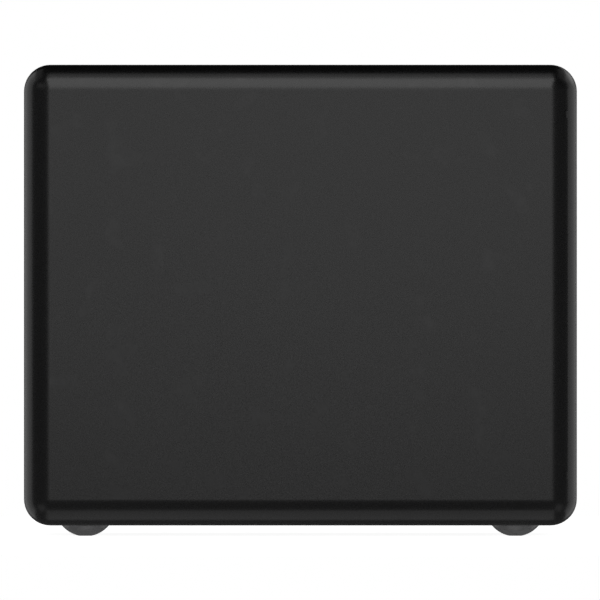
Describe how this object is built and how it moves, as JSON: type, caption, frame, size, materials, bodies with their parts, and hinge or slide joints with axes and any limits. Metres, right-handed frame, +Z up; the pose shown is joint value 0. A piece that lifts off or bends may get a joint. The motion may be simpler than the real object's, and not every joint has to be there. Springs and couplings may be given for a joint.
{
  "type": "mini pc",
  "caption": "Small upright cube-shaped desktop computer: rounded dark case on domed feet, front grille and sockets, rear fan panel, inside a board, tower cooler, fan and drive.",
  "frame": {"origin": "on the table under the middle of the case, level with the flats of the feet", "axes": "+Z up, the front with the power button faces -Y, +X is to the right when looking at the front"},
  "size_m": [0.125, 0.15, 0.1278],
  "materials": {
    "case_plastic": "satin, fine moulded grain",
    "bezel_plastic": "satin",
    "foot_rubber": "soft dark rubber",
    "filter_mesh": "woven mesh on a frame",
    "button_plastic": "semi-gloss",
    "light_pipe": "translucent",
    "board_green": "solder mask",
    "part_black": "moulded",
    "socket_steel": "nickel-plated",
    "panel_steel": "black powder coat",
    "tray_steel": "galvanised",
    "screw_steel": "black zinc",
    "standoff_brass": "turned",
    "copper": "bare copper",
    "fin_aluminium": "bare",
    "fan_plastic": "moulded",
    "cell_steel": "bright",
    "cable_black": "insulation"
  },
  "bodies": {
    "case": {"audio_jack": "part_black", "board_chips": "part_black", "board_screws": "screw_steel", "board_sockets": "part_black", "board_standoffs": "standoff_brass", "bottom_hatch": "case_plastic", "capacitors": "fin_aluminium", "card_screws": "screw_steel", "case_shell": "case_plastic", "chassis_tray": "tray_steel", "coin_cell": "cell_steel", "cooler_backplate": "tray_steel", "cooler_base": "copper", "cooler_brackets": "tray_steel", "cooler_fins": "fin_aluminium", "cooler_screws": "screw_steel", "cooler_springs": "tray_steel", "cpu_package": "part_black", "dc_jack": "part_black", "drive_cable": "cable_black", "drive_caddy": "tray_steel", "drive_screws": "screw_steel", "dust_filter": "filter_mesh", "fan_bearing": "standoff_brass", "fan_cable": "cable_black", "fan_frame": "fan_plastic", "fan_screws": "screw_steel", "fan_stator": "copper", "foot_front_left": "foot_rubber", "foot_front_right": "foot_rubber", "foot_rear_left": "foot_rubber", "foot_rear_right": "foot_rubber", "front_bezel": "bezel_plastic", "front_type_a_sockets": "socket_steel", "front_type_c_socket": "socket_steel", "hatch_screws": "screw_steel", "heat_pipes": "copper", "light_ring": "light_pipe", "main_board": "board_green", "memory_module_lower": "board_green", "memory_module_upper": "board_green", "memory_sockets": "part_black", "network_socket_left": "socket_steel", "network_socket_right": "socket_steel", "power_chokes": "part_black", "radio_card": "board_green", "rear_panel": "panel_steel", "rear_panel_screws": "screw_steel", "rear_type_a_sockets": "socket_steel", "ssd_module": "board_green", "status_lens": "light_pipe", "storage_drive": "fin_aluminium", "switch_board": "board_green", "switch_body": "part_black", "tray_screws": "screw_steel", "video_sockets": "socket_steel"},
    "power_button": {"power_button": "button_plastic"},
    "switch_plunger": {"switch_plunger": "part_black"},
    "fan_rotor": {"fan_rotor": "fan_plastic", "fan_shaft": "tray_steel"}
  },
  "joints": [
    {"name": "power_button_press", "type": "slide", "parent": "case", "child": "power_button", "axis": [0, 1, 0], "range_m": [0, 0.0005], "stiffness_N_per_m": 1600, "springref_m": -0.0003},
    {"name": "switch_plunger_press", "type": "slide", "parent": "case", "child": "switch_plunger", "axis": [0, 1, 0], "range_m": [0, 0.0005]},
    {"name": "fan_spin", "type": "hinge", "parent": "case", "child": "fan_rotor", "pos_m": [0, 0.0598, 0.078], "axis": [0, 1, 0], "continuous": true}
  ],
  "couplings": [
    {"joint": "switch_plunger_press", "follows": "power_button_press", "ratio": 1}
  ]
}
